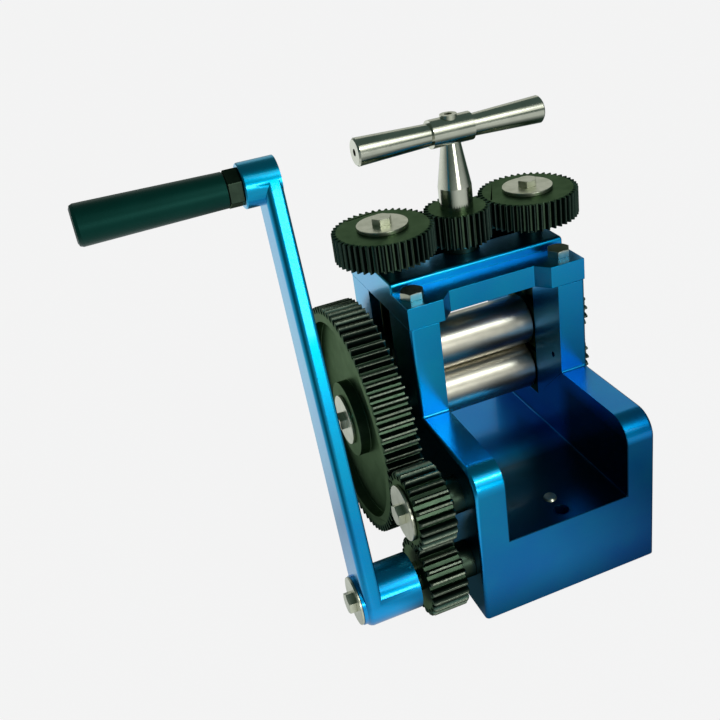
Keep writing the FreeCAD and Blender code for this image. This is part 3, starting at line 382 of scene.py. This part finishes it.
def plain_floor():
    """A pale floor that takes a soft shadow, which polished faces see as a bench lit in places."""
    half = 12
    mesh = bpy.data.meshes.new("floor")
    corners = [(-half, -half, 0), (half, -half, 0), (half, half, 0), (-half, half, 0)]
    mesh.from_pydata(corners, [], [(0, 1, 2, 3)])
    floor = bpy.data.objects.new("floor", mesh)
    bpy.context.collection.objects.link(floor)
    finish = Finish("pale_floor")
    rays = finish.tree.nodes.new("ShaderNodeLightPath")
    camera, glossy, through = [
        Field(finish, rays.outputs[name])
        for name in ("Is Camera Ray", "Is Glossy Ray", "Is Transmission Ray")]
    x, y = finish.point()[:2]
    bench = finish.mix(bench_light(x, y), (0.03, 0.055, 0.045), (0.96, 1.0, 1.0))
    table = light_of(finish, bench)
    pale = light_of(finish, (*BACKGROUND, 1))
    matt = finish.add("ShaderNodeBsdfDiffuse", None, {"Color": (0.9, 0.9, 0.9, 1)})
    shadowless = 0.97
    seen = finish.add(
        "ShaderNodeMixShader", None, {0: (camera + through) * shadowless, 1: matt, 2: pale})
    surface = finish.add("ShaderNodeMixShader", None, {0: glossy, 1: seen, 2: table})
    finish.tree.links.new(surface.socket, finish.tree.nodes["Material Output"].inputs["Surface"])
    mesh.materials.append(finish.material)


def surroundings():
    """A pale room for the eye, a dark one for reflections and a dim one for the light that it gives."""
    world = bpy.data.worlds.new("studio")
    world.use_nodes = True
    bpy.context.scene.world = world
    tree = world.node_tree
    tree.nodes.clear()
    rays = tree.nodes.new("ShaderNodeLightPath")
    shown = None
    for ray, colour in ((None, (0.42, 0.45, 0.46)), ("Is Glossy Ray", (0.075, 0.115, 0.105)),
                        ("Is Transmission Ray", BACKGROUND), ("Is Camera Ray", BACKGROUND)):
        back = tree.nodes.new("ShaderNodeBackground")
        back.inputs["Color"].default_value = (*colour, 1)
        if shown is None:
            shown = back
            continue
        mixed = tree.nodes.new("ShaderNodeMixShader")
        tree.links.new(rays.outputs[ray], mixed.inputs[0])
        tree.links.new(shown.outputs[0], mixed.inputs[1])
        tree.links.new(back.outputs[0], mixed.inputs[2])
        shown = mixed
    output = tree.nodes.new("ShaderNodeOutputWorld")
    tree.links.new(shown.outputs[0], output.inputs["Surface"])


def reflector(name, position, target, width, height, colour):
    """A lit board that only polished surfaces see."""
    mesh = bpy.data.meshes.new(name)
    u, v = width / 2, height / 2
    mesh.from_pydata([(-u, -v, 0), (u, -v, 0), (u, v, 0), (-u, v, 0)], [], [(0, 1, 2, 3)])
    board = bpy.data.objects.new(name, mesh)
    bpy.context.collection.objects.link(board)
    board.matrix_world = aimed(position, target)
    finish = Finish(name)
    glow = light_of(finish, (*colour, 1))
    finish.tree.links.new(glow.socket, finish.tree.nodes["Material Output"].inputs["Surface"])
    mesh.materials.append(finish.material)
    for ray in ("camera", "diffuse", "transmission", "volume_scatter", "shadow"):
        setattr(board, "visible_" + ray, False)


def aimed(position, target):
    """A turn that points a lamp's or a camera's -Z from a position to a target."""
    back = np.array(position, float) - np.array(target, float)
    back /= np.linalg.norm(back)
    right = np.cross(UP, back)
    right /= np.linalg.norm(right)
    return turned_to(right, np.cross(back, right), back, position)


def turned_to(right, up, back, position):
    matrix = Matrix.Identity(4)
    for column, vector in enumerate((right, up, back, position)):
        for row in range(3):
            matrix[row][column] = vector[row]
    return matrix


def softbox(name, position, target, width, height, watts, colour):
    lamp = bpy.data.lights.new(name, "AREA")
    lamp.shape = "RECTANGLE"
    lamp.size = width
    lamp.size_y = height
    lamp.energy = watts
    lamp.color = colour
    thing = bpy.data.objects.new(name, lamp)
    bpy.context.collection.objects.link(thing)
    thing.matrix_world = aimed(position, target)


def photograph_camera():
    """The camera that the straight edges of the casting give, with the photograph's off-centre frame."""
    camera = bpy.data.cameras.new("camera")
    focal_pixels, frame_pixels = 934.8, 720
    middle_u, middle_v = 384.4, 325.7
    camera.sensor_width = 36
    camera.lens = focal_pixels / frame_pixels * camera.sensor_width
    camera.shift_x = (frame_pixels / 2 - middle_u) / frame_pixels
    camera.shift_y = (middle_v - frame_pixels / 2) / frame_pixels
    camera.clip_start, camera.clip_end = 0.01, 50
    thing = bpy.data.objects.new("camera", camera)
    bpy.context.collection.objects.link(thing)
    azimuth, elevation, roll = (math.radians(a) for a in (-18.3, 27.09, -7.94))
    back = np.array([math.sin(azimuth) * math.cos(elevation), -math.cos(azimuth) * math.cos(elevation),
                     math.sin(elevation)])
    level = np.cross(UP, back)
    level /= np.linalg.norm(level)
    upright = np.cross(back, level)
    right = math.cos(roll) * level + math.sin(roll) * upright
    up = np.cross(back, right)
    thing.matrix_world = turned_to(right, up, back, (-0.2233, -0.5016, 0.4157))
    bpy.context.scene.camera = thing


plain_floor()
surroundings()
rolls, middle = (0, 0, 0.12), (0, 0, 0.15)
reflector("back_wall", (0.5, 1.6, 1.0), middle, width=2.4, height=1.2, colour=(0.6, 0.62, 0.58))
softbox("key", (0.45, -1.2, 1.15), rolls, width=0.6, height=1.1, watts=2.8, colour=(1, 0.98, 0.92))
softbox("spark", (0.5, -1.25, 1.2), rolls, width=0.2, height=0.15, watts=2.6, colour=(0.92, 1, 1))
softbox("window", (0.15, -1.5, 0.36), middle, width=0.5, height=0.32, watts=3.6, colour=(1, 1, 0.97))
photograph_camera()
bpy.context.scene.view_settings.view_transform = "Standard"
